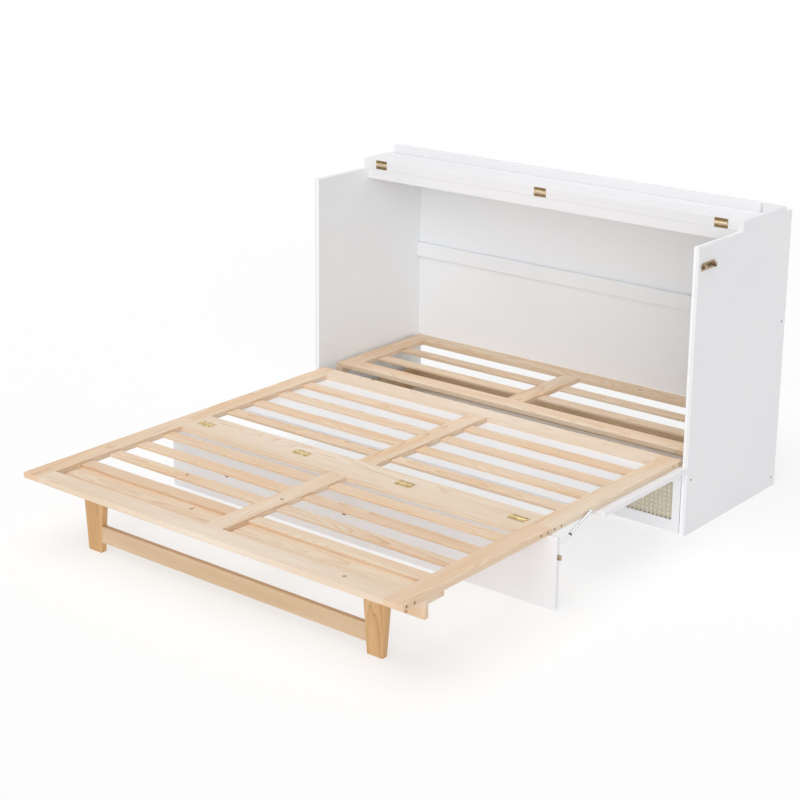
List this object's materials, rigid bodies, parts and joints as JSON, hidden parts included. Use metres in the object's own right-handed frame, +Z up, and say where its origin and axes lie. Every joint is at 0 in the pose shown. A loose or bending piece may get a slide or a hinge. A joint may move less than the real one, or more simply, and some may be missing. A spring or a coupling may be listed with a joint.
{
  "type": "storage bed",
  "caption": "White cabinet that opens into a slatted wooden bed: folding lid, hinged bed frames, support flap with stays, swinging legs and a drawer.",
  "frame": {"origin": "on the floor, under the middle of the open bed: the bottom centre of the bounding box", "axes": "+X along the cabinet to its right side, seen from the foot of the bed; +Y from the foot end towards the cabinet back; +Z up"},
  "size_m": [1.64, 2.054, 1.0415],
  "materials": {
    "white_board": "satin white paint",
    "pine": "raw planed pine",
    "leg_pine": "oiled golden pine",
    "drawer_box": "raw board",
    "cane": "woven cane",
    "hinge_brass": "bright",
    "aged_brass": "aged",
    "stay_chrome": "polished",
    "fastener_steel": "dull zinc"
  },
  "bodies": {
    "cabinet": {"side_panel_left": "white_board", "side_panel_right": "white_board", "top_board": "white_board", "top_front_rail": "white_board", "back_panel": "white_board", "back_upper_rail": "white_board", "back_lower_rail": "white_board", "front_crossbeam": "white_board", "side_battens": "pine", "rear_rail_left": "pine", "rear_rail_right": "pine", "rear_front_board": "pine", "rear_back_board": "pine", "rear_centre_rail": "pine", "rear_slats": "pine", "bed_hinge_cabinet_leaves": "hinge_brass", "lid_hinge_top_leaves": "hinge_brass", "bolt_bases": "aged_brass", "cabinet_screws": "fastener_steel"},
    "middle": {"mid_rail_left": "pine", "mid_rail_right": "pine", "mid_rear_board": "pine", "mid_seam_board": "pine", "mid_centre_rail": "pine", "mid_slats": "pine", "mid_frame_bolts": "fastener_steel", "lower_front_panel": "white_board", "bed_hinge_panel_leaves": "hinge_brass", "mid_hinge_leaves": "hinge_brass", "strut_frame_studs": "stay_chrome"},
    "foot": {"foot_rail_left": "pine", "foot_rail_right": "pine", "foot_seam_board": "pine", "foot_end_board": "pine", "foot_centre_rail": "pine", "foot_slats": "pine", "foot_frame_bolts": "fastener_steel", "seam_hinge_foot_leaves": "hinge_brass", "leg_apron": "leg_pine", "leg_mount_board": "pine", "leg_pivot_brackets": "fastener_steel"},
    "legs": {"leg_left": "leg_pine", "leg_right": "leg_pine", "leg_stretcher": "leg_pine"},
    "flap": {"flap_panel": "white_board", "flap_hinge_panel_leaves": "hinge_brass", "strut_flap_brackets": "fastener_steel", "bolt_keepers": "aged_brass"},
    "lid": {"lid_front_board": "white_board", "lid_lip": "white_board", "lid_hinge_front_leaves": "hinge_brass"},
    "drawer": {"drawer_front": "white_board", "drawer_cane": "cane", "drawer_sides": "drawer_box", "drawer_back": "drawer_box", "drawer_bottom": "drawer_box"},
    "stay_tubes": {"strut_tubes": "stay_chrome"},
    "stay_rods": {"strut_rods": "stay_chrome"},
    "bolt_left": {"bolt_bar_left": "aged_brass"},
    "bolt_right": {"bolt_bar_right": "aged_brass"}
  },
  "joints": [
    {"name": "bed_fold", "type": "hinge", "parent": "cabinet", "child": "middle", "pos_m": [0, 0.407, 0.2365], "axis": [-1, 0, 0], "range_deg": [0, 90]},
    {"name": "foot_fold", "type": "hinge", "parent": "middle", "child": "foot", "pos_m": [0, -0.325, 0.254], "axis": [-1, 0, 0], "range_deg": [0, 180]},
    {"name": "flap_fold", "type": "hinge", "parent": "middle", "child": "flap", "pos_m": [0, -0.325, 0.236], "axis": [1, 0, 0], "range_deg": [0, 90]},
    {"name": "leg_fold", "type": "hinge", "parent": "foot", "child": "legs", "pos_m": [0, -0.899, 0.206], "axis": [1, 0, 0], "range_deg": [0, 90]},
    {"name": "lid_fold", "type": "hinge", "parent": "cabinet", "child": "lid", "pos_m": [0, 0.689, 0.9905], "axis": [1, 0, 0], "range_deg": [0, 180]},
    {"name": "drawer_slide", "type": "slide", "parent": "cabinet", "child": "drawer", "axis": [0, -1, 0], "range_m": [0, 0.48]},
    {"name": "bolt_left_slide", "type": "slide", "parent": "cabinet", "child": "bolt_left", "axis": [0, -1, 0], "range_m": [0, 0.03]},
    {"name": "bolt_right_slide", "type": "slide", "parent": "cabinet", "child": "bolt_right", "axis": [0, -1, 0], "range_m": [0, 0.03]},
    {"name": "stay_turn", "type": "hinge", "parent": "middle", "child": "stay_tubes", "pos_m": [0, -0.125, 0.248], "axis": [-1, 0, 0], "range_deg": [0, 24.13]},
    {"name": "stay_push", "type": "slide", "parent": "stay_tubes", "child": "stay_rods", "axis": [0, 0.9404, 0.34], "range_m": [0, 0.03981]}
  ],
  "couplings": [
    {"joint": "stay_turn", "follows": "flap_fold", "ratio": 0.26811},
    {"joint": "stay_push", "follows": "flap_fold", "m_per_rad": 0.025342}
  ]
}
